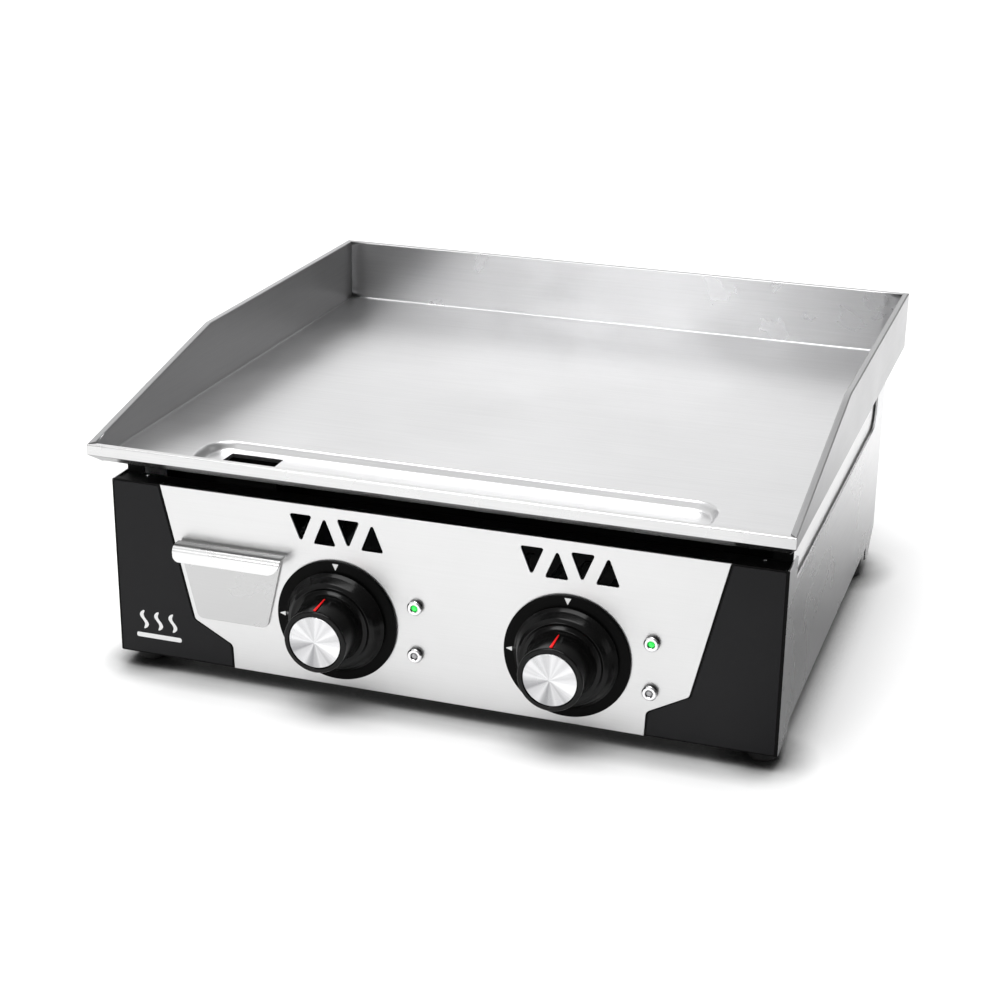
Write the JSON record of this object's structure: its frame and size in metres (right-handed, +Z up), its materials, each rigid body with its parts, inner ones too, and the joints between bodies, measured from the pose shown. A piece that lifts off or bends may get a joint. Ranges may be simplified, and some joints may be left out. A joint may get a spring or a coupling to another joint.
{
  "type": "electric griddle",
  "caption": "Countertop electric griddle: guarded steel cooking plate with a front grease channel over a sheet-metal body with control knobs, indicator lamps and a pull-out drip tray.",
  "frame": {"origin": "bottom centre of the bounding box, on the table under the feet", "axes": "+Z up, -Y towards the user (knobs and drip tray), +X to the user's right"},
  "size_m": [0.5, 0.4932, 0.2155],
  "materials": {
    "plate_steel": "satin brushed, faint cross-wise grain",
    "fascia_steel": "fine satin",
    "body_steel": "satin",
    "galvanised_steel": "dull zinc",
    "black_panel": "satin black lacquer",
    "black_frame": "semi-matt black",
    "black_plastic": "glossy moulded black",
    "spun_aluminium": "spun, concentric turning lines",
    "pointer_red": "red inlay",
    "bright_trim": "bright nickel",
    "green_lens": "translucent green, lit",
    "clear_lens": "translucent grey, unlit",
    "foot_rubber": "matt black",
    "ceramic": "unglazed steatite",
    "element_sheath": "oxidised alloy sheath"
  },
  "bodies": {
    "housing": {"cooking_plate": "plate_steel", "front_lip": "plate_steel", "rear_guard": "plate_steel", "left_guard": "plate_steel", "right_guard": "plate_steel", "left_heating_element": "element_sheath", "right_heating_element": "element_sheath", "front_element_clamp": "galvanised_steel", "rear_element_clamp": "galvanised_steel", "heat_shield": "galvanised_steel", "base_plate": "galvanised_steel", "grease_chute": "galvanised_steel", "left_tray_rail": "galvanised_steel", "right_tray_rail": "galvanised_steel", "front_fascia": "fascia_steel", "front_frame": "black_frame", "front_cross_rail": "black_frame", "left_end_panel": "black_panel", "right_end_panel": "black_panel", "rear_panel": "body_steel", "left_side_panel": "body_steel", "right_side_panel": "body_steel", "left_inner_wall": "body_steel", "right_inner_wall": "body_steel", "front_left_foot": "foot_rubber", "front_right_foot": "foot_rubber", "rear_left_foot": "foot_rubber", "rear_right_foot": "foot_rubber", "rear_screw_1": "bright_trim", "rear_screw_2": "bright_trim", "rear_screw_3": "bright_trim", "rear_screw_4": "bright_trim", "left_heat_lamp_bezel": "bright_trim", "left_mains_lamp_bezel": "bright_trim", "right_heat_lamp_bezel": "bright_trim", "right_mains_lamp_bezel": "bright_trim", "cable_gland": "black_plastic", "left_dial": "black_plastic", "right_dial": "black_plastic", "terminal_block": "ceramic", "left_thermostat": "ceramic", "right_thermostat": "ceramic", "left_heat_lamp_lens": "green_lens", "right_heat_lamp_lens": "green_lens", "left_mains_lamp_lens": "clear_lens", "right_mains_lamp_lens": "clear_lens"},
    "left_control": {"left_knob": "black_plastic", "left_knob_cap": "spun_aluminium", "left_knob_pointer": "pointer_red", "left_knob_shaft": "galvanised_steel"},
    "right_control": {"right_knob": "black_plastic", "right_knob_cap": "spun_aluminium", "right_knob_pointer": "pointer_red", "right_knob_shaft": "galvanised_steel"},
    "drip_tray": {"drip_tray_box": "body_steel", "drip_tray_front": "fascia_steel"}
  },
  "joints": [
    {"name": "left_knob_turn", "type": "hinge", "parent": "housing", "child": "left_control", "pos_m": [-0.071, -0.2259, 0.0628], "axis": [0, 1, 0], "range_deg": [0, 270]},
    {"name": "right_knob_turn", "type": "hinge", "parent": "housing", "child": "right_control", "pos_m": [0.097, -0.2259, 0.0628], "axis": [0, 1, 0], "range_deg": [0, 270]},
    {"name": "tray_slide", "type": "slide", "parent": "housing", "child": "drip_tray", "axis": [0, -1, 0], "range_m": [0, 0.22]}
  ]
}
